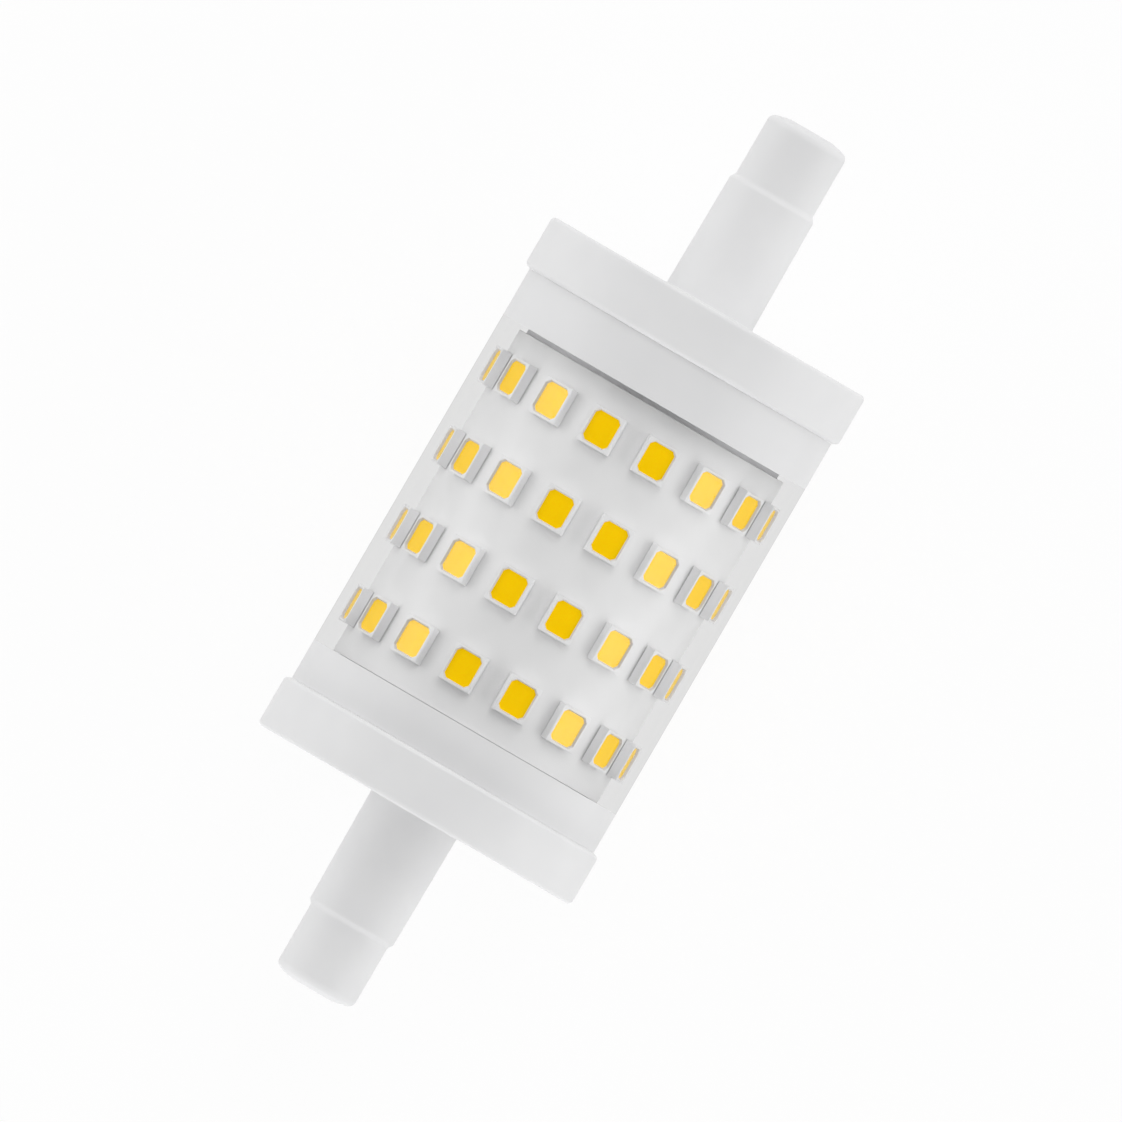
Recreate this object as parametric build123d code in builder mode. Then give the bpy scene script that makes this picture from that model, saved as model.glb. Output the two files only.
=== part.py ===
from build123d import *
import os
from math import sqrt

# Double-ended linear LED lamp, millimetres. The lamp's axis is X, with the upper contact at +X.
# +Z is the front, midway between two columns of LEDs. The origin is the middle of the lamp's length.

# Cover tube
tube_diameter = 27.4
tube_wall = 0.7
tube_length = 37.04
tube_end_gap = 0.05

# End caps: flange, spigot, tapered neck and contact tip
flange_overhang = 0.5
flange_thickness = 4.48
flange_edge_radius = 0.38
end_wall = 1.75
spigot_fit = 0.05
spigot_length_upper = 4.155
spigot_length_lower = 3.47
neck_length = 9.75
neck_taper = 0.1
neck_step = 0.29
neck_root_chamfer = 0.12
neck_shoulder = 0.36
tip_diameter = 6.95
tip_length = 6.2
tip_wall = 1.775
tip_dome_radius = 11.0
tip_edge_radius = 0.5

# Contacts, riveted through a web at the bottom of the tip's recess
contact_depth = 1.55
contact_ledge = 0.35
contact_fit = 0.03
contact_head_thickness = 0.9
contact_dome_height = 0.25
contact_web = 1.2
shank_diameter = 1.4
rivet_head_diameter = 2.6
rivet_head_thickness = 0.5

# LEDs, set in rings round the board
leds_around = 16
led_rows = 4
row_margin_upper = 3.565
row_margin_lower = 3.92
led_width = 2.81
led_length = 3.2
led_height = 0.83
led_clearance = 0.085
led_solder = 0.03
led_side_rim = 0.185
led_end_rim = 0.185
mouth_flare = 0.105
mouth_corner = 0.36
window_corner = 0.3
window_depth = 0.42
phosphor_recess = 0.21

# LED board rolled round the core, with its seam at the back
board_thickness = 0.55
board_end_gap = 0.02
board_adhesive = 0.05
board_seam = 1.0
core_reveal = 0.38

# Core tube and the insulating sleeve inside it
core_wall = 1.2
core_fit = 0.05
core_end_gap = 0.05
sleeve_wall = 0.6
sleeve_fit = 0.1

# Driver board, held at its ends between ribs inside the end caps
driver_drop = 3.0
driver_thickness = 1.0
driver_side_gap = 0.15
driver_end_gap = 0.1
rib_length = 2.0
rib_width = 2.0
rib_wall = 0.9
rib_slot_gap = 0.05

# Lead wires from the contacts to the driver board
lead_diameter = 1.1
lead_bend_radius = 2.5
lead_drop_run = 3.0
lead_landing = 1.8

# Feed wires from the driver board to the seam of the LED board
feed_diameter = 0.6
feed_hole_gap = 0.25
feed_joint_diameter = 2.0
feed_joint_height = 0.4
feed_joint_chamfer = 0.25

# Parts on the driver board
part_gap = 0.05
part_spacing = 1.0
pin_diameter = 0.6
capacitor_middle = 1.9
capacitor_diameter = 8.0
capacitor_length = 10.5
capacitor_edge = 0.4
capacitor_groove = 0.4
capacitor_groove_place = 2.0
capacitor_pin_pitch = 3.5
capacitor_pin_reach = 1.2
inductor_diameter = 6.5
inductor_height = 7.0
inductor_flange = 1.2
inductor_waist = 3.4
winding_inset = 0.4
winding_gap = 0.05
fuse_diameter = 2.6
fuse_length = 7.6
fuse_end_diameter = 3.0
fuse_end_length = 1.4
fuse_pin_reach = 0.9
package_standoff = 0.15
package_width = 3.9
package_height = 1.45
package_edge = 0.2
pin_reach = 1.0
pin_foot = 0.55
pin_thickness = 0.2
pin_width = 0.45
rectifier_length = 4.7
rectifier_pin_pitch = 2.54
chip_length = 4.9
chip_pin_pitch = 1.27
resistor_length = 1.6
resistor_width = 0.8
resistor_height = 0.45
resistor_spacing = 1.0
resistor_columns = 2
resistor_rows = 3

# Radii worked out from the tube inwards
tube_radius = tube_diameter / 2
tube_bore_radius = tube_radius - tube_wall
led_corner_radius = tube_bore_radius - led_clearance
led_top_radius = sqrt(led_corner_radius**2 - (led_width / 2) ** 2)
led_base_radius = led_top_radius - led_height
board_radius = led_base_radius - led_solder
board_bore_radius = board_radius - board_thickness
core_radius = board_bore_radius - board_adhesive
core_bore_radius = core_radius - core_wall
sleeve_radius = core_bore_radius - sleeve_fit
sleeve_bore_radius = sleeve_radius - sleeve_wall
spigot_radius = tube_bore_radius - spigot_fit
spigot_bore_radius = core_radius + core_fit
flange_radius = tube_radius + flange_overhang
tip_radius = tip_diameter / 2
neck_end_radius = tip_radius + neck_step
neck_root_radius = neck_end_radius + neck_taper
recess_radius = tip_radius - tip_wall
contact_pocket_radius = recess_radius - contact_ledge
contact_radius = contact_pocket_radius - contact_fit
shank_hole_radius = shank_diameter / 2 + contact_fit

# Distances from the middle of the lamp along its axis
flange_inner = tube_length / 2 + tube_end_gap
flange_outer = flange_inner + flange_thickness
core_seat = flange_outer - end_wall
neck_end = flange_outer + neck_length
tip_start = neck_end + neck_shoulder
tip_end = neck_end + tip_length
contact_face = tip_end - contact_depth
contact_seat = contact_face - contact_head_thickness
web_inner = contact_seat - contact_web
rivet_end = web_inner - rivet_head_thickness
core_end = core_seat - core_end_gap
driver_end = core_seat - driver_end_gap
spigot_end_upper = flange_inner - spigot_length_upper
spigot_end_lower = flange_inner - spigot_length_lower
board_upper = spigot_end_upper - core_reveal
board_lower = -spigot_end_lower + board_end_gap
first_row = board_lower + row_margin_lower
row_pitch = (board_upper - row_margin_upper - first_row) / (led_rows - 1)

# Heights of the driver board's faces
driver_top = -driver_drop
driver_underside = driver_top - driver_thickness
driver_half_width = sqrt(sleeve_bore_radius**2 - driver_underside**2) - driver_side_gap

os.makedirs("parts", exist_ok=True)


def save(builder, name):
    builder.part.label = name
    export_step(builder.part, f"parts/{name}.step")


def dome_drop(radius):
    """How far the tip's dome has fallen at a radius, measured from the rim of the recess."""
    crown = sqrt(tip_dome_radius**2 - recess_radius**2)
    return crown - sqrt(tip_dome_radius**2 - radius**2)


# End caps
def end_cap(name, side, spigot_length):
    """One moulding, turned about the lamp's axis, with two slotted ribs inside for the driver board."""
    rim_middle = (recess_radius + tip_radius) / 2
    tip_edge = tip_end - dome_drop(tip_radius)
    with BuildPart() as cap:
        with BuildSketch(Plane.XY) as profile:
            with BuildLine():
                Polyline(
                    (side * tip_end, recess_radius),
                    (side * contact_face, recess_radius),
                    (side * contact_face, contact_pocket_radius),
                    (side * contact_seat, contact_pocket_radius),
                    (side * contact_seat, shank_hole_radius),
                    (side * web_inner, shank_hole_radius),
                    (side * web_inner, recess_radius),
                    (side * core_seat, recess_radius),
                    (side * core_seat, spigot_bore_radius),
                    (side * (flange_inner - spigot_length), spigot_bore_radius),
                    (side * (flange_inner - spigot_length), spigot_radius),
                    (side * flange_inner, spigot_radius),
                    (side * flange_inner, flange_radius),
                    (side * flange_outer, flange_radius),
                    (side * flange_outer, neck_root_radius),
                    (side * neck_end, neck_end_radius),
                    (side * tip_start, tip_radius),
                    (side * tip_edge, tip_radius),
                )
                ThreePointArc(
                    (side * tip_edge, tip_radius),
                    (side * (tip_end - dome_drop(rim_middle)), rim_middle),
                    (side * tip_end, recess_radius),
                )
            make_face()
            rounded_corners = [
                ((side * flange_inner, flange_radius), min(flange_edge_radius, 0.9 * flange_overhang)),
                ((side * flange_outer, flange_radius), flange_edge_radius),
                ((side * tip_edge, tip_radius), tip_edge_radius),
            ]
            for place, radius in rounded_corners:
                fillet(profile.vertices().sort_by_distance(place)[0], radius)
            neck_root = profile.vertices().sort_by_distance((side * flange_outer, neck_root_radius))[0]
            chamfer(neck_root, neck_root_chamfer)
        revolve(axis=Axis.X)
        rib_height = driver_thickness + 2 * (rib_slot_gap + rib_wall)
        rib_middle = (driver_top + driver_underside) / 2
        with Locations((side * (core_seat - rib_length / 2), 0, rib_middle)):
            with GridLocations(rib_length, driver_half_width, 1, 2):
                Box(rib_length, rib_width, rib_height)
            Box(rib_length, 2 * driver_half_width, driver_thickness + 2 * rib_slot_gap, mode=Mode.SUBTRACT)
    save(cap, name)


end_cap("end_cap_upper", 1, spigot_length_upper)
end_cap("end_cap_lower", -1, spigot_length_lower)


# Contacts
def contact(name, side):
    """A rivet with a domed face that sits flush with the floor of the recess."""
    dome_edge = contact_face - contact_dome_height
    dome_radius = (contact_radius**2 + contact_dome_height**2) / (2 * contact_dome_height)
    dome_middle = contact_face - dome_radius + sqrt(dome_radius**2 - (contact_radius / 2) ** 2)
    with BuildPart() as rivet:
        with BuildSketch(Plane.XY):
            with BuildLine():
                ThreePointArc(
                    (side * contact_face, 0),
                    (side * dome_middle, contact_radius / 2),
                    (side * dome_edge, contact_radius),
                )
                Polyline(
                    (side * dome_edge, contact_radius),
                    (side * contact_seat, contact_radius),
                    (side * contact_seat, shank_diameter / 2),
                    (side * web_inner, shank_diameter / 2),
                    (side * web_inner, rivet_head_diameter / 2),
                    (side * rivet_end, rivet_head_diameter / 2),
                    (side * rivet_end, 0),
                    (side * contact_face, 0),
                )
            make_face()
        revolve(axis=Axis.X)
    save(rivet, name)


contact("contact_upper", 1)
contact("contact_lower", -1)


# Clear cover tube
with BuildPart() as cover_tube:
    with BuildSketch(Plane.YZ.offset(-tube_length / 2)):
        Circle(tube_radius)
        Circle(tube_bore_radius, mode=Mode.SUBTRACT)
    extrude(amount=tube_length)
save(cover_tube, "cover_tube")

# Feed wires run down the back to the seam, each midway between two rows of LEDs
feed_upper = first_row + (led_rows - 1.5) * row_pitch
feed_lower = feed_upper - row_pitch
feed_places = [(feed_upper, 0), (feed_lower, 0)]
feed_hole_radius = feed_diameter / 2 + feed_hole_gap

# Core tube, with holes at the back for the feed wires
with BuildPart() as heat_sink_core:
    with BuildSketch(Plane.YZ.offset(-core_end)):
        Circle(core_radius)
        Circle(core_bore_radius, mode=Mode.SUBTRACT)
    extrude(amount=2 * core_end)
    with BuildSketch(Plane.XY):
        with Locations(*feed_places):
            Circle(feed_hole_radius)
    extrude(amount=-tube_radius, mode=Mode.SUBTRACT)
save(heat_sink_core, "heat_sink_core")

# Insulating sleeve, with the same holes
with BuildPart() as insulating_sleeve:
    with BuildSketch(Plane.YZ.offset(-core_end)):
        Circle(sleeve_radius)
        Circle(sleeve_bore_radius, mode=Mode.SUBTRACT)
    extrude(amount=2 * core_end)
    with BuildSketch(Plane.XY):
        with Locations(*feed_places):
            Circle(feed_hole_radius)
    extrude(amount=-tube_radius, mode=Mode.SUBTRACT)
save(insulating_sleeve, "insulating_sleeve")

# LED board, open along its seam at the back
with BuildPart() as led_board:
    with BuildSketch(Plane.YZ.offset(board_lower)):
        Circle(board_radius)
        Circle(board_bore_radius, mode=Mode.SUBTRACT)
        with Locations((0, -board_radius)):
            Rectangle(board_seam, 4 * board_thickness, mode=Mode.SUBTRACT)
    extrude(amount=board_upper - board_lower)
save(led_board, "led_board")

# One LED, with X away from the board, Y round the lamp and Z along it
mouth_width = led_width - 2 * led_side_rim
mouth_length = led_length - 2 * led_end_rim
window_width = mouth_width - 2 * mouth_flare
window_length = mouth_length - 2 * mouth_flare
phosphor_top = led_height - phosphor_recess
window_floor = led_height - window_depth
with BuildPart() as led_housing:
    Box(led_height, led_width, led_length, align=(Align.MIN, Align.CENTER, Align.CENTER))
    with BuildSketch(Plane.YZ.offset(led_height)) as mouth:
        Rectangle(mouth_width, mouth_length)
        chamfer(mouth.vertices(), mouth_corner)
    with BuildSketch(Plane.YZ.offset(phosphor_top)) as window:
        Rectangle(window_width, window_length)
        chamfer(window.vertices(), window_corner)
    loft(ruled=True, mode=Mode.SUBTRACT)
    with BuildSketch(Plane.YZ.offset(phosphor_top)):
        add(window.sketch_local)
    extrude(amount=window_floor - phosphor_top, mode=Mode.SUBTRACT)

with BuildPart() as led_phosphor:
    with BuildSketch(Plane.YZ.offset(window_floor)) as window_fill:
        Rectangle(window_width, window_length)
        chamfer(window_fill.vertices(), window_corner)
    extrude(amount=phosphor_top - window_floor)


def led_row(name, piece, place):
    """A ring of copies, with the front of the lamp midway between two of them."""
    half_step = 180 / leds_around
    with BuildPart(Plane.YZ.offset(place)) as row:
        with PolarLocations(led_base_radius, leds_around, start_angle=90 + half_step):
            add(piece.part)
    save(row, name)


for number in range(led_rows):
    row_place = first_row + number * row_pitch
    led_row(f"led_housings_row_{number + 1}", led_housing, row_place)
    led_row(f"led_phosphors_row_{number + 1}", led_phosphor, row_place)

# Driver board
with BuildPart() as driver_board:
    with BuildSketch(Plane.XY.offset(driver_underside)):
        Rectangle(2 * driver_end, 2 * driver_half_width)
    extrude(amount=driver_thickness)
save(driver_board, "driver_board")


# Lead wires
def lead_wire(name, side):
    """From the rivet, through the neck, down to the driver board's top face."""
    landing_height = driver_top + lead_diameter / 2 + part_gap
    drop_end = core_seat - lead_drop_run
    with BuildPart() as wire:
        with BuildLine() as route:
            FilletPolyline(
                (side * rivet_end, 0, 0),
                (side * core_seat, 0, 0),
                (side * drop_end, 0, landing_height),
                (side * (drop_end - lead_landing), 0, landing_height),
                radius=lead_bend_radius,
            )
        with BuildSketch(Plane(origin=route.line @ 0, z_dir=route.line % 0)):
            Circle(lead_diameter / 2)
        sweep()
    save(wire, name)


lead_wire("lead_wire_upper", 1)
lead_wire("lead_wire_lower", -1)

# Feed wires, from the driver board's underside to the seam of the LED board
with BuildPart() as feed_wires:
    with BuildSketch(Plane.XY.offset(driver_underside)):
        with Locations(*feed_places):
            Circle(feed_diameter / 2)
    extrude(amount=-(board_radius + driver_underside))
save(feed_wires, "feed_wires")

# Solder domes that join the feed wires to both edges of the seam
with BuildPart() as feed_joints:
    with BuildSketch(Plane.XY.offset(-board_radius - feed_joint_height)):
        with Locations(*feed_places):
            Circle(feed_joint_diameter / 2)
    extrude(amount=2 * feed_joint_height)
    chamfer(feed_joints.edges().group_by(Axis.Z)[0], min(feed_joint_chamfer, 0.9 * feed_joint_height))
    with BuildSketch(Plane.YZ.offset(-tube_length / 2)):
        Circle(board_radius + led_solder)
    extrude(amount=tube_length, mode=Mode.SUBTRACT)
save(feed_joints, "feed_joints")

# Smoothing capacitor, lying along the board, with its pins bent down beside its grooved end
can_radius = capacitor_diameter / 2
can_axis_height = driver_top + part_gap + can_radius
can_foot = capacitor_middle - capacitor_length / 2
can_head = capacitor_middle + capacitor_length / 2
with BuildPart() as smoothing_capacitor:
    with BuildSketch(Plane.XZ) as can_profile:
        with Locations((capacitor_middle, can_axis_height)):
            Rectangle(capacitor_length, can_radius, align=(Align.CENTER, Align.MIN))
        chamfer(can_profile.vertices().group_by(Axis.Y)[-1], capacitor_edge)
        with Locations((can_foot + capacitor_groove_place, can_axis_height + can_radius)):
            Rectangle(capacitor_groove, 2 * capacitor_groove, mode=Mode.SUBTRACT)
    revolve(axis=Axis((0, 0, can_axis_height), (1, 0, 0)))
    for pin_place in (-capacitor_pin_pitch / 2, capacitor_pin_pitch / 2):
        with BuildLine(Plane.XZ.offset(-pin_place)) as pin_route:
            Polyline(
                (can_foot, can_axis_height),
                (can_foot - capacitor_pin_reach, can_axis_height),
                (can_foot - capacitor_pin_reach, driver_top + part_gap),
            )
        with BuildSketch(Plane(origin=pin_route.line @ 0, z_dir=pin_route.line % 0)):
            Circle(pin_diameter / 2)
        sweep(path=pin_route.line, transition=Transition.RIGHT)
save(smoothing_capacitor, "smoothing_capacitor")

# Storage inductor: a drum core standing on the board, with its winding round the waist
inductor_middle = can_foot - capacitor_pin_reach - part_spacing - inductor_diameter / 2
inductor_base = driver_top + part_gap
with BuildPart() as inductor_core:
    with BuildSketch(Plane.XY.offset(inductor_base)):
        with Locations((inductor_middle, 0)):
            Circle(inductor_diameter / 2)
    extrude(amount=inductor_height)
    with BuildSketch(Plane.XY.offset(inductor_base + inductor_flange)):
        with Locations((inductor_middle, 0)):
            Circle(inductor_diameter / 2)
            Circle(inductor_waist / 2, mode=Mode.SUBTRACT)
    extrude(amount=inductor_height - 2 * inductor_flange, mode=Mode.SUBTRACT)
save(inductor_core, "inductor_core")

with BuildPart() as inductor_winding:
    with BuildSketch(Plane.XY.offset(inductor_base + inductor_flange + winding_gap)):
        with Locations((inductor_middle, 0)):
            Circle(inductor_diameter / 2 - winding_inset)
            Circle(inductor_waist / 2 + winding_gap, mode=Mode.SUBTRACT)
    extrude(amount=inductor_height - 2 * (inductor_flange + winding_gap))
save(inductor_winding, "inductor_winding")

# Fuse resistor, lying across the board, with thicker ends and pins bent down to the board
fuse_middle = can_head + part_spacing + fuse_end_diameter / 2
fuse_axis_height = driver_top + part_gap + fuse_end_diameter / 2
with BuildPart() as fuse_resistor:
    with BuildSketch(Plane.YZ.offset(fuse_middle)):
        with Locations((0, fuse_axis_height)):
            Rectangle(fuse_length, fuse_diameter / 2, align=(Align.CENTER, Align.MIN))
        for end in (-1, 1):
            with Locations((end * (fuse_length - fuse_end_length) / 2, fuse_axis_height)):
                Rectangle(fuse_end_length, fuse_end_diameter / 2, align=(Align.CENTER, Align.MIN))
    revolve(axis=Axis((fuse_middle, 0, fuse_axis_height), (0, 1, 0)))
    for end in (-1, 1):
        with BuildLine(Plane.YZ.offset(fuse_middle)) as fuse_pin:
            Polyline(
                (end * fuse_length / 2, fuse_axis_height),
                (end * (fuse_length / 2 + fuse_pin_reach), fuse_axis_height),
                (end * (fuse_length / 2 + fuse_pin_reach), driver_top + part_gap),
            )
        with BuildSketch(Plane(origin=fuse_pin.line @ 0, z_dir=fuse_pin.line % 0)):
            Circle(pin_diameter / 2)
        sweep(path=fuse_pin.line, transition=Transition.RIGHT)
save(fuse_resistor, "fuse_resistor")


# Packages on the driver board's underside
def pinned_package(name, middle, body_length, pins_a_side, pin_pitch):
    """A moulded body with a row of bent pins along each side."""
    side_face = package_width / 2
    bend = side_face + pin_reach - pin_foot
    pin_height = package_standoff + package_height / 2
    first_pin = -(pins_a_side - 1) * pin_pitch / 2 - pin_width / 2
    pin_planes = [Plane.YZ.offset(first_pin + number * pin_pitch) for number in range(pins_a_side)]
    with BuildPart() as package:
        with Locations((0, 0, package_standoff)):
            Box(body_length, package_width, package_height, align=(Align.CENTER, Align.CENTER, Align.MIN))
        chamfer(package.edges().group_by(Axis.Z)[-1], package_edge)
        with BuildSketch(*pin_planes):
            with BuildLine():
                Polyline(
                    (side_face, pin_height),
                    (bend, pin_height),
                    (bend, pin_thickness),
                    (side_face + pin_reach, pin_thickness),
                    (side_face + pin_reach, 0),
                    (bend - pin_thickness, 0),
                    (bend - pin_thickness, pin_height - pin_thickness),
                    (side_face, pin_height - pin_thickness),
                    close=True,
                )
            make_face()
            mirror(about=Plane.YZ)
        extrude(amount=pin_width)
    underside = Plane(origin=(middle, 0, driver_underside - part_gap), x_dir=(1, 0, 0), z_dir=(0, 0, -1))
    with BuildPart() as placed:
        with Locations(underside):
            add(package.part)
    save(placed, name)


rectifier_middle = feed_upper + part_spacing + rectifier_length / 2
pinned_package("bridge_rectifier", rectifier_middle, rectifier_length, 2, rectifier_pin_pitch)

chip_middle = feed_lower - part_spacing - chip_length / 2
pinned_package("driver_chip", chip_middle, chip_length, 4, chip_pin_pitch)

# Chip resistors, in a grid beside the driver chip
resistor_pitch = resistor_length + resistor_spacing
resistor_field = (resistor_columns - 1) * resistor_pitch + resistor_length
resistor_middle = chip_middle - chip_length / 2 - part_spacing - resistor_field / 2
with BuildPart() as chip_resistors:
    with Locations((resistor_middle, 0, driver_underside - part_gap)):
        with GridLocations(resistor_pitch, resistor_width + resistor_spacing, resistor_columns, resistor_rows):
            Box(
                resistor_length,
                resistor_width,
                resistor_height,
                align=(Align.CENTER, Align.CENTER, Align.MAX),
            )
save(chip_resistors, "chip_resistors")
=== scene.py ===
from math import asin, pi, radians, sqrt

import bmesh
import bpy
from mathutils import Matrix, Vector


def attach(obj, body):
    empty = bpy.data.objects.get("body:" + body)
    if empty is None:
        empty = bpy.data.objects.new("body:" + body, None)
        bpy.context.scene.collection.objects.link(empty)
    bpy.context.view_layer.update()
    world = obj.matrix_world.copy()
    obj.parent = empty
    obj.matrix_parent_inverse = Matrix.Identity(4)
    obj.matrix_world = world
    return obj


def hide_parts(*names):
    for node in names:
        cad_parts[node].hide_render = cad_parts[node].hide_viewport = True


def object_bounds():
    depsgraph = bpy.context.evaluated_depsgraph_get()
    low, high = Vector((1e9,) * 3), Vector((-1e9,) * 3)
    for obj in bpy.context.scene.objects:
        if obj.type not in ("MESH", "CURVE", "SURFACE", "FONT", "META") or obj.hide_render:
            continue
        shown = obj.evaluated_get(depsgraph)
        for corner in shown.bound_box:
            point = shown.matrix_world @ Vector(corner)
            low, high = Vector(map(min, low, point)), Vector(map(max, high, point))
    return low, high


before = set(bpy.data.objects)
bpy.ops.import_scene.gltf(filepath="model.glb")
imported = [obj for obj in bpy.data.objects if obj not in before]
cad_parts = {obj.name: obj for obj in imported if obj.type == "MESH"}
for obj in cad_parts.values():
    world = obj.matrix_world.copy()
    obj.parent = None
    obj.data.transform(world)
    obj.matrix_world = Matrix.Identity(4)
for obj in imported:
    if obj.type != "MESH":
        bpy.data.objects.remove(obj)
cad_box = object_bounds()

# Lengths are in millimetres and go into the meshes in metres. The lamp's axis is X, +Z is its front.
MM = 0.001
TURN_STEPS = 144
SOFT_CORNER_STEPS = 4
SOFT_EDGE_STEPS = 2
DOME_SHARES = (0.25, 0.5, 0.75)
MERGE_DISTANCE = 1e-7
SHARP_ANGLE = radians(38)

# Clear tube
TUBE_RADIUS = 13.7
TUBE_BORE = 13.0
TUBE_HALF_LENGTH = 18.565
TUBE_EDGE = 0.02

# End caps
FLANGE_RADIUS = 14.2
FLANGE_INNER = 18.57
FLANGE_OUTER = 23.05
FLANGE_EDGE = 0.38
FLANGE_INNER_SLOPE = 0.22
FLANGE_INNER_EDGE = 0.2
SPIGOT_RADIUS = 12.95
SPIGOT_BORE = 11.4283
SPIGOT_END = {"upper": 14.415, "lower": 15.1}
SPIGOT_EDGE = 0.12
CORE_SEAT = 21.3
NECK_ROOT_RADIUS = 3.865
NECK_ROOT_ROUND = 0.12
NECK_END = 32.8
NECK_END_RADIUS = 3.765
NECK_SHOULDER_ROUND = 0.12
TIP_START = 33.16
TIP_START_ROUND = 0.14
TIP_RADIUS = 3.475
TIP_END = 39.0
TIP_EDGE = 0.5
TIP_DOME_RADIUS = 11.0
RECESS_RADIUS = 1.7
RECESS_EDGE = 0.12
POCKET_RADIUS = 1.35
SHANK_HOLE_RADIUS = 0.73
WEB_INNER = 35.35

# Ribs that hold the driver board
RIB_LENGTH = 2.0
RIB_WIDTH = 2.0
RIB_WALL = 0.9
RIB_SPREAD = 8.442
RIB_EDGE = 0.12
RIB_SLOT_GAP = 0.05
DRIVER_TOP = -3.0
DRIVER_UNDERSIDE = -4.0

# Contacts
CONTACT_FACE = 37.45
CONTACT_SEAT = 36.55
CONTACT_RADIUS = 1.32
CONTACT_DOME = 0.25
CONTACT_EDGE = 0.08
SHANK_RADIUS = 0.7
RIVET_RADIUS = 1.3
RIVET_END = 34.85
RIVET_EDGE = 0.2

# LED board and LEDs
BOARD_RADIUS = 11.9783
BOARD_BORE = 11.4283
BOARD_UPPER = 14.035
BOARD_LOWER = -15.08
BOARD_SEAM = 1.0
BOARD_EDGE = 0.06
LEDS_AROUND = 16
LED_ROWS = (-11.16, -3.95, 3.26, 10.47)
LED_BASE_RADIUS = 12.0083
LED_WIDTH = 2.81
LED_LENGTH = 3.2
LED_HEIGHT = 0.83
LED_EDGE = 0.05
SIDE_RIM = 0.185
END_RIM = 0.185
MOUTH_FLARE = 0.105
MOUTH_CORNER = 0.36
WINDOW_CORNER = 0.3
WINDOW_DEPTH = 0.42
PHOSPHOR_RECESS = 0.21
PHOSPHOR_RIM = 0.16
PHOSPHOR_DISH = 0.01
PHOSPHOR_DISH_STEPS = 2
# Shares of a size that pick out the corners on a housing's outside, and all that lies within its mouth
AT_OUTSIDE = 0.499
WITHIN_MOUTH = 1.001

# Finishes: the part of the noise that a pattern uses, and what the white, clear and yellow ones share
NOISE_LOW = 0.3
NOISE_HIGH = 0.7
MOULDED_SPECULAR = 0.25
CLEAR_GLOSS_ROUGHNESS = 0.05
CLEAR_GLOSS_POWER = 4.0
CLEAR_WHITE = (1.0, 1.0, 1.0)
CLEAR_TINT_FROM = 0.1
CLEAR_TINT_TO = 0.5
# Strength of the emission that paints light onto the phosphor gel, which is no lamp
PHOSPHOR_PAINTED_GLOW = 0.165

# Floor
FLOOR_RADIUS = 3.0
FLOOR_STEPS = 96
FLOOR_COLOUR = (0.92, 0.92, 0.92, 1)
FLOOR_ROUGHNESS = 0.9
FLOOR_WHITE = 0.93

# Room: pale at the horizon and darker overhead, most of all in mirrored light, and lighter at the upper end
HORIZON_LEVEL = 0.95
OVERHEAD_LEVEL = 0.42
OVERHEAD_FROM = 0.7
UPPER_END_LEAN = 0.4
MIRRORED_HORIZON_TO = 0.6
MIRRORED_OVERHEAD_FROM = 0.88

# Camera: straight onto the front, with the lamp's axis leaning to the right
FRAME_WIDTH = 88.07
AXIS_LEAN = 30.19
CENTRE_RIGHT = 0.057
CENTRE_UP = 0.028
CAMERA_DISTANCE = 1.0


# Steps that finishes, floor and room are put together from
def new_finish(name):
    finish = bpy.data.materials.new(name)
    finish.use_nodes = True
    return finish, finish.node_tree, finish.node_tree.nodes["Principled BSDF"]


def maths(tree, operation, *values):
    """One sum, fed with outputs of other nodes or plain numbers."""
    step = tree.nodes.new("ShaderNodeMath")
    step.operation = operation
    for socket, value in zip(step.inputs, values):
        if isinstance(value, bpy.types.NodeSocket):
            tree.links.new(value, socket)
        else:
            socket.default_value = value
    return step.outputs[0]


def spread(tree, value, start, end, low, high):
    """Brings a value that runs from start to end to one that runs from low to high."""
    span = tree.nodes.new("ShaderNodeMapRange")
    span.inputs["From Min"].default_value = start
    span.inputs["From Max"].default_value = end
    span.inputs["To Min"].default_value = low
    span.inputs["To Max"].default_value = high
    tree.links.new(value, span.inputs["Value"])
    return span.outputs["Result"]


def shade(tree, value, start, end, first, second):
    """Colour that goes from first to second as a value runs from start to end."""
    ramp = tree.nodes.new("ShaderNodeValToRGB")
    for stop, position, colour in zip(ramp.color_ramp.elements, (start, end), (first, second)):
        stop.position = position
        stop.color = (*colour, 1)
    tree.links.new(value, ramp.inputs["Fac"])
    return ramp.outputs["Color"]


def show_both(tree, share, first, second):
    """Makes the surface show the second shader by this share, and the first by the rest."""
    both = tree.nodes.new("ShaderNodeMixShader")
    tree.links.new(share, both.inputs["Fac"])
    tree.links.new(first, both.inputs[1])
    tree.links.new(second, both.inputs[2])
    tree.links.new(both.outputs["Shader"], tree.nodes["Material Output"].inputs["Surface"])


def grain(tree, size, detail=2.0, stretch=(1, 1, 1)):
    """Noise with spots of about this size, drawn out along the axes where stretch is small."""
    place = tree.nodes.new("ShaderNodeTexCoord")
    fit = tree.nodes.new("ShaderNodeMapping")
    fit.inputs["Scale"].default_value = [share / (size * MM) for share in stretch]
    spots = tree.nodes.new("ShaderNodeTexNoise")
    spots.inputs["Scale"].default_value = 1.0
    spots.inputs["Detail"].default_value = detail
    tree.links.new(place.outputs["Object"], fit.inputs["Vector"])
    tree.links.new(fit.outputs["Vector"], spots.inputs["Vector"])
    return spots.outputs["Fac"]


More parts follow.
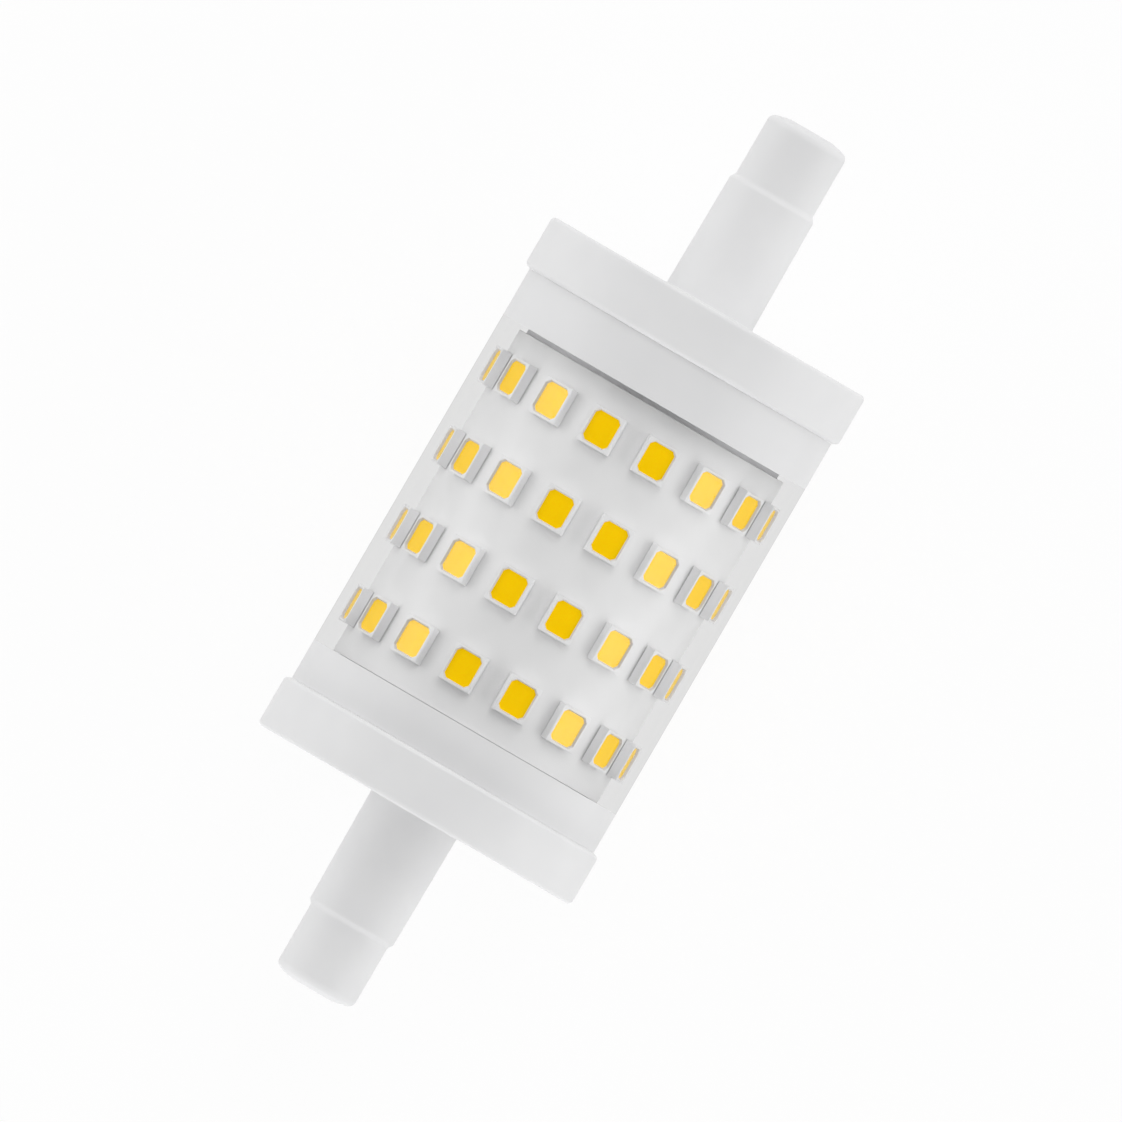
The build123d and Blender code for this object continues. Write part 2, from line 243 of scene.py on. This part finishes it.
def even_wave(tree, pitch, kind, axis):
    """Even turned rings or wound bands of this pitch."""
    place = tree.nodes.new("ShaderNodeTexCoord")
    wave = tree.nodes.new("ShaderNodeTexWave")
    wave.wave_type = kind
    if kind == "RINGS":
        wave.rings_direction = axis
    else:
        wave.bands_direction = axis
    wave.inputs["Scale"].default_value = pi / (10 * pitch * MM)
    tree.links.new(place.outputs["Object"], wave.inputs["Vector"])
    return wave.outputs["Fac"]


def set_colour(tree, shader, pattern, first, second):
    colour = shade(tree, pattern, NOISE_LOW, NOISE_HIGH, first, second)
    tree.links.new(colour, shader.inputs["Base Color"])


def set_roughness(tree, shader, pattern, low, high):
    roughness = spread(tree, pattern, NOISE_LOW, NOISE_HIGH, low, high)
    tree.links.new(roughness, shader.inputs["Roughness"])


def set_relief(tree, shader, pattern, depth, strength=1.0):
    bump = tree.nodes.new("ShaderNodeBump")
    bump.inputs["Distance"].default_value = depth * MM
    bump.inputs["Strength"].default_value = strength
    tree.links.new(pattern, bump.inputs["Height"])
    tree.links.new(bump.outputs["Normal"], shader.inputs["Normal"])


# Finishes
def grained_finish(name, first, second, spot, roughness, relief, metallic=0.0, stretch=(1, 1, 1)):
    """A finish whose colour, roughness and relief all vary with a grain of one size."""
    finish, tree, shader = new_finish(name)
    pattern = grain(tree, spot, 3.0, stretch)
    set_colour(tree, shader, pattern, first, second)
    set_roughness(tree, shader, pattern, *roughness)
    set_relief(tree, shader, pattern, relief)
    shader.inputs["Metallic"].default_value = metallic
    return finish


def moulded_white(name, first, second, roughness):
    """Satin white moulding: faint clouding, and the fine texture of the mould."""
    finish, tree, shader = new_finish(name)
    set_colour(tree, shader, grain(tree, 5.0), first, second)
    set_roughness(tree, shader, grain(tree, 0.3), *roughness)
    set_relief(tree, shader, grain(tree, 0.1), 0.002, 0.6)
    shader.inputs["Specular IOR Level"].default_value = MOULDED_SPECULAR
    return finish


def clear_plastic(name, gloss, slanted_tint=None):
    """See-through wall: it lets light pass unbent, and at a slant it mirrors more and may be tinted."""
    finish, tree, shader = new_finish(name)
    tree.nodes.remove(shader)
    slant = tree.nodes.new("ShaderNodeLayerWeight")
    slant.inputs["Blend"].default_value = 0.5
    facing = slant.outputs["Facing"]
    clear = tree.nodes.new("ShaderNodeBsdfTransparent")
    if slanted_tint:
        tint = shade(tree, facing, CLEAR_TINT_FROM, CLEAR_TINT_TO, CLEAR_WHITE, slanted_tint)
        tree.links.new(tint, clear.inputs["Color"])
    else:
        clear.inputs["Color"].default_value = (*CLEAR_WHITE, 1)
    mirror = tree.nodes.new("ShaderNodeBsdfGlossy")
    mirror.inputs["Roughness"].default_value = CLEAR_GLOSS_ROUGHNESS
    share = spread(tree, maths(tree, "POWER", facing, CLEAR_GLOSS_POWER), 0.0, 1.0, *gloss)
    show_both(tree, share, clear.outputs["BSDF"], mirror.outputs["BSDF"])
    return finish


def phosphor_gel(name):
    """Yellow phosphor in clear gel: fine grains, and a faint painted glow, an emission that brightens it
    though it is no lamp.
    """
    finish, tree, shader = new_finish(name)
    set_colour(tree, shader, grain(tree, 0.12, 4.0), (0.97, 0.57, 0.0), (1.0, 0.64, 0.002))
    set_roughness(tree, shader, grain(tree, 0.25), 0.08, 0.14)
    set_relief(tree, shader, grain(tree, 0.08), 0.002, 0.4)
    shader.inputs["Specular IOR Level"].default_value = 0.5
    # A constant emission paints extra light onto the gel
    shader.inputs["Emission Color"].default_value = (1.0, 0.66, 0.0, 1)
    shader.inputs["Emission Strength"].default_value = PHOSPHOR_PAINTED_GLOW
    return finish


def nickel_plate(name):
    """Plated rivet face with faint turned rings."""
    finish, tree, shader = new_finish(name)
    set_colour(tree, shader, grain(tree, 0.6), (0.74, 0.72, 0.68), (0.82, 0.8, 0.77))
    set_roughness(tree, shader, grain(tree, 0.2), 0.18, 0.3)
    set_relief(tree, shader, even_wave(tree, 0.12, "RINGS", "X"), 0.002, 0.5)
    shader.inputs["Metallic"].default_value = 1.0
    return finish


def wound_copper(name):
    """Enamelled wire wound in even turns."""
    finish, tree, shader = new_finish(name)
    turns = even_wave(tree, 0.22, "BANDS", "Z")
    set_colour(tree, shader, turns, (0.3, 0.1, 0.03), (0.62, 0.28, 0.12))
    set_roughness(tree, shader, grain(tree, 0.4), 0.2, 0.32)
    set_relief(tree, shader, turns, 0.08)
    shader.inputs["Metallic"].default_value = 0.85
    return finish


cap_white = moulded_white("cap_white_moulding", (0.775, 0.775, 0.78), (0.8, 0.8, 0.803), (0.5, 0.6))
collar_white = moulded_white("tube_end_white", (0.76, 0.76, 0.765), (0.78, 0.78, 0.785), (0.5, 0.6))
housing_white = moulded_white("led_housing_white", (0.88, 0.88, 0.885), (0.9, 0.9, 0.905), (0.42, 0.52))
# The housings' window walls are coloured darker and bluer than their outside: painted shade in the recess.
window_painted_shade = moulded_white("led_window_painted_shade", (0.74, 0.76, 0.84), (0.77, 0.79, 0.87), (0.42, 0.52))
mask_white = moulded_white("board_white_mask", (0.865, 0.865, 0.865), (0.885, 0.885, 0.885), (0.5, 0.6))
tube_outside = clear_plastic("tube_clear_outside", (0.006, 0.3), slanted_tint=(0.885, 0.885, 0.885))
tube_inside = clear_plastic("tube_clear_inside", (0.004, 0.02))
phosphor_yellow = phosphor_gel("phosphor_yellow_gel")
core_drawn = grained_finish(
    "core_drawn_aluminium", (0.88, 0.88, 0.89), (0.92, 0.92, 0.93), 0.15, (0.55, 0.7), 0.002,
    metallic=0.2, stretch=(0.04, 1, 1),
)
contact_nickel = nickel_plate("contact_nickel_plate")
wire_white = grained_finish(
    "wire_white_cover", (0.78, 0.78, 0.76), (0.84, 0.84, 0.82), 0.5, (0.3, 0.38), 0.003
)
solder_tin = grained_finish(
    "solder_bright_tin", (0.66, 0.66, 0.67), (0.76, 0.76, 0.77), 0.3, (0.2, 0.36), 0.01, metallic=1.0
)
sleeve_natural = grained_finish(
    "sleeve_natural_plastic", (0.74, 0.74, 0.71), (0.8, 0.8, 0.77), 1.5, (0.45, 0.55), 0.002
)
laminate_green = grained_finish(
    "driver_green_laminate", (0.025, 0.15, 0.06), (0.04, 0.2, 0.085), 0.4, (0.32, 0.44), 0.006
)
can_dark = grained_finish(
    "capacitor_dark_sleeve", (0.02, 0.022, 0.035), (0.035, 0.037, 0.055), 0.6, (0.3, 0.4), 0.003
)
ferrite_grey = grained_finish(
    "inductor_ferrite", (0.03, 0.03, 0.032), (0.06, 0.06, 0.062), 0.2, (0.55, 0.7), 0.01
)
winding_copper = wound_copper("inductor_wound_copper")
fuse_green = grained_finish(
    "fuse_green_lacquer", (0.06, 0.16, 0.1), (0.09, 0.22, 0.14), 0.5, (0.35, 0.45), 0.005
)
package_black = grained_finish(
    "package_black_moulding", (0.012, 0.012, 0.012), (0.025, 0.025, 0.025), 0.1, (0.5, 0.65), 0.004
)


# Pieces
def keep_piece(name, bm, finishes, slot, *nodes):
    """Makes the finished mesh a piece of the lamp that stands for these nodes."""
    mesh = bpy.data.meshes.new(name)
    bm.to_mesh(mesh)
    bm.free()
    for finish in finishes:
        mesh.materials.append(finish)
    mesh.shade_smooth()
    mesh.set_sharp_from_angle(angle=SHARP_ANGLE)
    piece = bpy.data.objects.new(name, mesh)
    bpy.context.scene.collection.objects.link(piece)
    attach(piece, "root")
    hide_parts(*nodes)


def outline(corners, side=1):
    """A closed wire of (place along the axis, radius, rounding) corners on one side, ready to be turned."""
    bm = bmesh.new()
    points = [bm.verts.new((side * place * MM, 0, radius * MM)) for place, radius, _ in corners]
    for point, following in zip(points, points[1:] + points[:1]):
        bm.edges.new((point, following))
    for point, (_, _, rounding) in zip(points, corners):
        if rounding:
            bmesh.ops.bevel(
                bm, geom=[point], offset=rounding * MM, offset_type="OFFSET", segments=SOFT_CORNER_STEPS,
                profile=0.5, affect="VERTICES", material=-1,
            )
    return bm


def turn(bm, angle=2 * pi):
    """Turns the wire about the lamp's axis and closes the skin."""
    whole = angle == 2 * pi
    bmesh.ops.spin(
        bm, geom=bm.verts[:] + bm.edges[:], cent=(0, 0, 0), axis=(1, 0, 0), angle=angle, steps=TURN_STEPS,
        use_merge=whole,
    )
    bmesh.ops.remove_doubles(bm, verts=bm.verts[:], dist=MERGE_DISTANCE)
    if not whole:
        bmesh.ops.holes_fill(bm, edges=[edge for edge in bm.edges if edge.is_boundary], sides=0)
    bmesh.ops.recalc_face_normals(bm, faces=bm.faces[:])
    return bm


def cut_corners(bm, verts, corner):
    """Cuts the corners of a flat face straight."""
    bmesh.ops.bevel(
        bm, geom=verts, offset=corner * MM, offset_type="OFFSET", segments=1, profile=0.5,
        affect="VERTICES", material=-1,
    )


def soften_edges(bm, edges, softness):
    """Rounds edges by a little."""
    bmesh.ops.bevel(
        bm, geom=edges, offset=softness * MM, offset_type="OFFSET", segments=SOFT_EDGE_STEPS, profile=0.5,
        affect="EDGES", material=-1,
    )


def dome_drop(radius):
    """How far the tip's dome has fallen at a radius, measured from the rim of the recess."""
    return sqrt(TIP_DOME_RADIUS**2 - RECESS_RADIUS**2) - sqrt(TIP_DOME_RADIUS**2 - radius**2)


def make_end_cap(end, side):
    """One moulding from the spigot to the contact tip, with the ribs that hold the driver board."""
    corners = [
        (TIP_END, RECESS_RADIUS, RECESS_EDGE),
        (CONTACT_FACE, RECESS_RADIUS, 0),
        (CONTACT_FACE, POCKET_RADIUS, 0),
        (CONTACT_SEAT, POCKET_RADIUS, 0),
        (CONTACT_SEAT, SHANK_HOLE_RADIUS, 0),
        (WEB_INNER, SHANK_HOLE_RADIUS, 0),
        (WEB_INNER, RECESS_RADIUS, 0),
        (CORE_SEAT, RECESS_RADIUS, 0),
        (CORE_SEAT, SPIGOT_BORE, 0),
        (SPIGOT_END[end], SPIGOT_BORE, SPIGOT_EDGE),
        (SPIGOT_END[end], SPIGOT_RADIUS, SPIGOT_EDGE),
        (FLANGE_INNER, SPIGOT_RADIUS, 0),
        (FLANGE_INNER, TUBE_RADIUS, 0),
        (FLANGE_INNER + FLANGE_INNER_SLOPE, FLANGE_RADIUS, FLANGE_INNER_EDGE),
        (FLANGE_OUTER, FLANGE_RADIUS, FLANGE_EDGE),
        (FLANGE_OUTER, NECK_ROOT_RADIUS, NECK_ROOT_ROUND),
        (NECK_END, NECK_END_RADIUS, NECK_SHOULDER_ROUND),
        (TIP_START, TIP_RADIUS, TIP_START_ROUND),
        (TIP_END - dome_drop(TIP_RADIUS), TIP_RADIUS, TIP_EDGE),
    ]
    for share in reversed(DOME_SHARES):
        radius = RECESS_RADIUS + share * (TIP_RADIUS - RECESS_RADIUS)
        corners.append((TIP_END - dome_drop(radius), radius, 0))
    bm = turn(outline(corners, side))
    rib_above = DRIVER_TOP + RIB_SLOT_GAP + RIB_WALL / 2
    rib_below = DRIVER_UNDERSIDE - RIB_SLOT_GAP - RIB_WALL / 2
    size = Vector((RIB_LENGTH, RIB_WIDTH, RIB_WALL)) * MM
    for across in (-RIB_SPREAD / 2, RIB_SPREAD / 2):
        for height in (rib_above, rib_below):
            middle = Vector((side * (CORE_SEAT - RIB_LENGTH / 2), across, height)) * MM
            bar = bmesh.ops.create_cube(bm, size=1, matrix=Matrix.LocRotScale(middle, None, size))
            edges = {edge for vert in bar["verts"] for edge in vert.link_edges}
            soften_edges(bm, list(edges), RIB_EDGE)
    keep_piece(f"cap_moulding_{end}", bm, [cap_white], "cap_plastic", f"end_cap_{end}")


def make_contact(end, side):
    """Riveted contact with a domed face at the bottom of the recess."""
    dome_radius = (CONTACT_RADIUS**2 + CONTACT_DOME**2) / (2 * CONTACT_DOME)
    corners = [(CONTACT_FACE, 0, 0)]
    for share in DOME_SHARES:
        radius = share * CONTACT_RADIUS
        corners.append((CONTACT_FACE - dome_radius + sqrt(dome_radius**2 - radius**2), radius, 0))
    corners += [
        (CONTACT_FACE - CONTACT_DOME, CONTACT_RADIUS, CONTACT_EDGE),
        (CONTACT_SEAT, CONTACT_RADIUS, 0),
        (CONTACT_SEAT, SHANK_RADIUS, 0),
        (WEB_INNER, SHANK_RADIUS, 0),
        (WEB_INNER, RIVET_RADIUS, 0),
        (RIVET_END, RIVET_RADIUS, RIVET_EDGE),
        (RIVET_END, 0, 0),
    ]
    bm = turn(outline(corners, side))
    keep_piece(f"contact_rivet_{end}", bm, [contact_nickel], "contact_metal", f"contact_{end}")


def make_cover_tube():
    """Clear tube whose ends are white where they are glued over the spigots."""
    bm = turn(outline([
        (-TUBE_HALF_LENGTH, TUBE_BORE, TUBE_EDGE),
        (TUBE_HALF_LENGTH, TUBE_BORE, TUBE_EDGE),
        (TUBE_HALF_LENGTH, TUBE_RADIUS, TUBE_EDGE),
        (SPIGOT_END["upper"], TUBE_RADIUS, 0),
        (-SPIGOT_END["lower"], TUBE_RADIUS, 0),
        (-TUBE_HALF_LENGTH, TUBE_RADIUS, TUBE_EDGE),
    ]))
    middle_wall = (TUBE_RADIUS + TUBE_BORE) / 2 * MM
    for face in bm.faces:
        heart = face.calc_center_median()
        if heart.yz.length < middle_wall:
            face.material_index = 1
        elif not -SPIGOT_END["lower"] * MM < heart.x < SPIGOT_END["upper"] * MM:
            face.material_index = 2
    keep_piece("clear_cover", bm, [tube_outside, tube_inside, collar_white], "clear_tube", "cover_tube")


def make_led_board():
    """White board rolled round the core, open along a seam at the back."""
    half_seam = asin(BOARD_SEAM / 2 / BOARD_RADIUS)
    bm = outline([
        (BOARD_LOWER, BOARD_BORE, 0),
        (BOARD_UPPER, BOARD_BORE, 0),
        (BOARD_UPPER, BOARD_RADIUS, BOARD_EDGE),
        (BOARD_LOWER, BOARD_RADIUS, BOARD_EDGE),
    ])
    bmesh.ops.rotate(bm, verts=bm.verts[:], cent=(0, 0, 0), matrix=Matrix.Rotation(pi + half_seam, 3, "X"))
    turn(bm, 2 * (pi - half_seam))
    keep_piece("rolled_led_board", bm, [mask_white], "board_mask", "led_board")


def ring_of_leds(bm, place):
    """Copies one LED's piece, made round the origin with its base at height 0, all round the board."""
    half_step = pi / LEDS_AROUND
    bmesh.ops.translate(bm, verts=bm.verts[:], vec=Vector((place, 0, LED_BASE_RADIUS)) * MM)
    bmesh.ops.rotate(bm, verts=bm.verts[:], cent=(0, 0, 0), matrix=Matrix.Rotation(half_step, 3, "X"))
    bmesh.ops.spin(
        bm, geom=bm.verts[:] + bm.edges[:] + bm.faces[:], cent=(0, 0, 0), axis=(1, 0, 0),
        angle=2 * pi * (LEDS_AROUND - 1) / LEDS_AROUND, steps=LEDS_AROUND - 1, use_duplicate=True,
    )
    bmesh.ops.recalc_face_normals(bm, faces=bm.faces[:])


def make_housings(number, place):
    """White housings with soft edges and a flared window whose corners are cut."""
    bm = bmesh.new()
    size = Vector((LED_LENGTH, LED_WIDTH, LED_HEIGHT)) * MM
    middle = Vector((0, 0, LED_HEIGHT / 2)) * MM
    bmesh.ops.create_cube(bm, size=1, matrix=Matrix.LocRotScale(middle, None, size))
    top = max(bm.faces, key=lambda face: face.calc_center_median().z)
    bmesh.ops.inset_region(bm, faces=[top], thickness=SIDE_RIM * MM, use_even_offset=True)
    stretch = (LED_LENGTH - 2 * END_RIM) / (LED_LENGTH - 2 * SIDE_RIM)
    bmesh.ops.scale(bm, vec=(stretch, 1, 1), verts=top.verts[:])
    cut_corners(bm, top.verts[:], MOUTH_CORNER)
    window = max(bm.faces, key=lambda face: len(face.verts))

    # The cut corners leave stray points on the slanted edges of the rim, which go back to its corners
    corners = [vert for vert in bm.verts if abs(vert.co.x) > AT_OUTSIDE * size.x and vert.co.z > middle.z]
    strays = {}
    for corner in corners:
        for edge in corner.link_edges:
            other = edge.other_vert(corner)
            if other not in corners and other.co.z > middle.z:
                strays[other] = corner
    bmesh.ops.weld_verts(bm, targetmap=strays)

    bmesh.ops.inset_region(
        bm, faces=[window], thickness=MOUTH_FLARE * MM, depth=-PHOSPHOR_RECESS * MM, use_even_offset=True
    )
    well = bmesh.ops.extrude_discrete_faces(bm, faces=[window])["faces"][0]
    bmesh.ops.translate(bm, verts=well.verts[:], vec=(0, 0, (PHOSPHOR_RECESS - WINDOW_DEPTH) * MM))
    # Faces within the mouth take the darker window finish, which paints the recess's shade onto the walls.
    mouth = Vector((LED_LENGTH / 2 - END_RIM, LED_WIDTH / 2 - SIDE_RIM)) * MM * WITHIN_MOUTH
    for face in bm.faces:
        if all(abs(vert.co.x) < mouth.x and abs(vert.co.y) < mouth.y for vert in face.verts):
            face.material_index = 1
    outside = size * AT_OUTSIDE
    uprights = [
        edge for edge in bm.edges
        if all(abs(vert.co.x) > outside.x and abs(vert.co.y) > outside.y for vert in edge.verts)
        and any(vert.co.z > middle.z for vert in edge.verts)
    ]
    soften_edges(bm, uprights, LED_EDGE)
    ring_of_leds(bm, place)
    finishes = [housing_white, window_painted_shade]
    keep_piece(f"led_frames_{number}", bm, finishes, "led_housing", f"led_housings_row_{number}")


def make_phosphors(number, place):
    """Gel fills that sink a little below the windows' rims, lowest in the middle."""
    bm = bmesh.new()
    window_length = LED_LENGTH - 2 * (END_RIM + MOUTH_FLARE)
    window_width = LED_WIDTH - 2 * (SIDE_RIM + MOUTH_FLARE)
    size = Matrix.Diagonal((window_length * MM, window_width * MM, 1, 1))
    bmesh.ops.create_grid(bm, x_segments=1, y_segments=1, size=0.5, matrix=size)
    cut_corners(bm, bm.verts[:], WINDOW_CORNER)
    fill = bm.faces[:][0]
    edges = fill.edges[:]
    bmesh.ops.translate(bm, verts=bm.verts[:], vec=(0, 0, (LED_HEIGHT - PHOSPHOR_RECESS) * MM))
    skirt = bmesh.ops.extrude_edge_only(bm, edges=edges)["geom"]
    skirt_verts = [item for item in skirt if isinstance(item, bmesh.types.BMVert)]
    fill_depth = WINDOW_DEPTH - PHOSPHOR_RECESS
    bmesh.ops.translate(bm, verts=skirt_verts, vec=(0, 0, -fill_depth * MM))
    bmesh.ops.holes_fill(bm, edges=[edge for edge in bm.edges if edge.is_boundary], sides=0)
    for _ in range(PHOSPHOR_DISH_STEPS):
        bmesh.ops.inset_region(
            bm, faces=[fill], thickness=PHOSPHOR_RIM * MM, depth=-PHOSPHOR_DISH * MM, use_even_offset=True
        )
    ring_of_leds(bm, place)
    node = f"led_phosphors_row_{number}"
    keep_piece(f"led_fills_{number}", bm, [phosphor_yellow], "led_phosphor", node)


make_cover_tube()
make_led_board()
for end, side in (("upper", 1), ("lower", -1)):
    make_end_cap(end, side)
    make_contact(end, side)
for number, place in enumerate(LED_ROWS, 1):
    make_housings(number, place)
    make_phosphors(number, place)

# Nodes that keep their shape and get their own finish
kept_nodes = {
    "heat_sink_core": core_drawn,
    "lead_wire_upper": wire_white,
    "lead_wire_lower": wire_white,
    "feed_wires": solder_tin,
    "feed_joints": solder_tin,
    "insulating_sleeve": sleeve_natural,
    "driver_board": laminate_green,
    "smoothing_capacitor": can_dark,
    "inductor_core": ferrite_grey,
    "inductor_winding": winding_copper,
    "fuse_resistor": fuse_green,
    "bridge_rectifier": package_black,
    "driver_chip": package_black,
    "chip_resistors": package_black,
}
for node, finish in kept_nodes.items():
    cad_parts[node].material_slots[0].material = finish


# Floor, light and camera
def make_floor():
    """Pale floor that the camera, mirrors and clear walls see as white, with a little of the shadow."""
    bm = bmesh.new()
    bmesh.ops.create_circle(bm, cap_ends=True, segments=FLOOR_STEPS, radius=FLOOR_RADIUS)
    bmesh.ops.translate(bm, verts=bm.verts[:], vec=(0, 0, cad_box[0][2]))
    mesh = bpy.data.meshes.new("floor")
    bm.to_mesh(mesh)
    bm.free()
    floor = bpy.data.objects.new("floor", mesh)
    bpy.context.scene.collection.objects.link(floor)
    finish, tree, shader = new_finish("floor_white")
    shader.inputs["Base Color"].default_value = FLOOR_COLOUR
    shader.inputs["Roughness"].default_value = FLOOR_ROUGHNESS
    shader.inputs["Specular IOR Level"].default_value = 0.0
    glow = tree.nodes.new("ShaderNodeEmission")
    path = tree.nodes.new("ShaderNodeLightPath").outputs
    seen = maths(tree, "MAXIMUM", path["Is Camera Ray"], path["Is Glossy Ray"])
    seen_or_passed = maths(tree, "MAXIMUM", seen, path["Is Transmission Ray"])
    share = maths(tree, "MULTIPLY", seen_or_passed, FLOOR_WHITE)
    show_both(tree, share, shader.outputs["BSDF"], glow.outputs["Emission"])
    mesh.materials.append(finish)


def make_room():
    """Pale room, whose light is not the same in mirrors as elsewhere."""
    room = bpy.data.worlds.new("pale_room")
    room.use_nodes = True
    tree = room.node_tree
    look = tree.nodes.new("ShaderNodeTexCoord")
    parts = tree.nodes.new("ShaderNodeSeparateXYZ")
    tree.links.new(look.outputs["Generated"], parts.inputs["Vector"])
    along = parts.outputs["X"]
    up = parts.outputs["Z"]
    level = spread(tree, up, 0.0, OVERHEAD_FROM, HORIZON_LEVEL, OVERHEAD_LEVEL)
    leaning = maths(tree, "MULTIPLY", maths(tree, "MULTIPLY_ADD", along, UPPER_END_LEAN, 1.0), level)
    mirrored = spread(tree, up, MIRRORED_HORIZON_TO, MIRRORED_OVERHEAD_FROM, HORIZON_LEVEL, 0.0)
    path = tree.nodes.new("ShaderNodeLightPath")
    either = tree.nodes.new("ShaderNodeMix")
    tree.links.new(path.outputs["Is Glossy Ray"], either.inputs["Factor"])
    tree.links.new(leaning, either.inputs["A"])
    tree.links.new(mirrored, either.inputs["B"])
    tree.nodes["Background"].inputs["Color"].default_value = (1, 1, 1, 1)
    tree.links.new(either.outputs["Result"], tree.nodes["Background"].inputs["Strength"])
    bpy.context.scene.world = room


def soft_box(name, place, tall, wide, level, mirrored=True):
    """A soft box aimed at the lamp, as bright to look at as level, and shown in gloss or not."""
    light = bpy.data.lights.new(name, "AREA")
    light.shape = "RECTANGLE"
    light.size = tall
    light.size_y = wide
    light.energy = level * pi * tall * wide
    box = bpy.data.objects.new(name, light)
    box.location = place
    box.rotation_euler = Vector(place).to_track_quat("Z", "X").to_euler()
    box.visible_camera = False
    box.visible_glossy = mirrored
    bpy.context.scene.collection.objects.link(box)


def make_camera():
    sight = bpy.data.cameras.new("camera")
    sight.type = "ORTHO"
    sight.ortho_scale = FRAME_WIDTH * MM
    camera = bpy.data.objects.new("camera", sight)
    roll = Matrix.Rotation(radians(AXIS_LEAN - 90), 4, "Z")
    camera.matrix_world = roll @ Matrix.Translation((-CENTRE_RIGHT * MM, -CENTRE_UP * MM, CAMERA_DISTANCE))
    bpy.context.scene.collection.objects.link(camera)
    bpy.context.scene.camera = camera


make_floor()
make_room()
# Low soft boxes along both sides, two high ones towards the upper end, and a low one beyond the lower end
soft_box("left_box", place=(0, 0.4, 0.16), tall=0.2, wide=0.5, level=1.4)
soft_box("right_box", place=(0, -0.4, 0.16), tall=0.2, wide=0.5, level=1.6)
soft_box("upper_key_box", place=(0.3, 0, 1.4), tall=0.25, wide=0.25, level=2.0)
soft_box("upper_end_box", place=(0.9, 0, 1.1), tall=1.0, wide=0.8, level=1.8)
soft_box("lower_end_box", place=(-1.2, 0, 0.17), tall=0.3, wide=1.0, level=7.0, mirrored=False)
make_camera()
bpy.context.scene.view_settings.view_transform = "Standard"
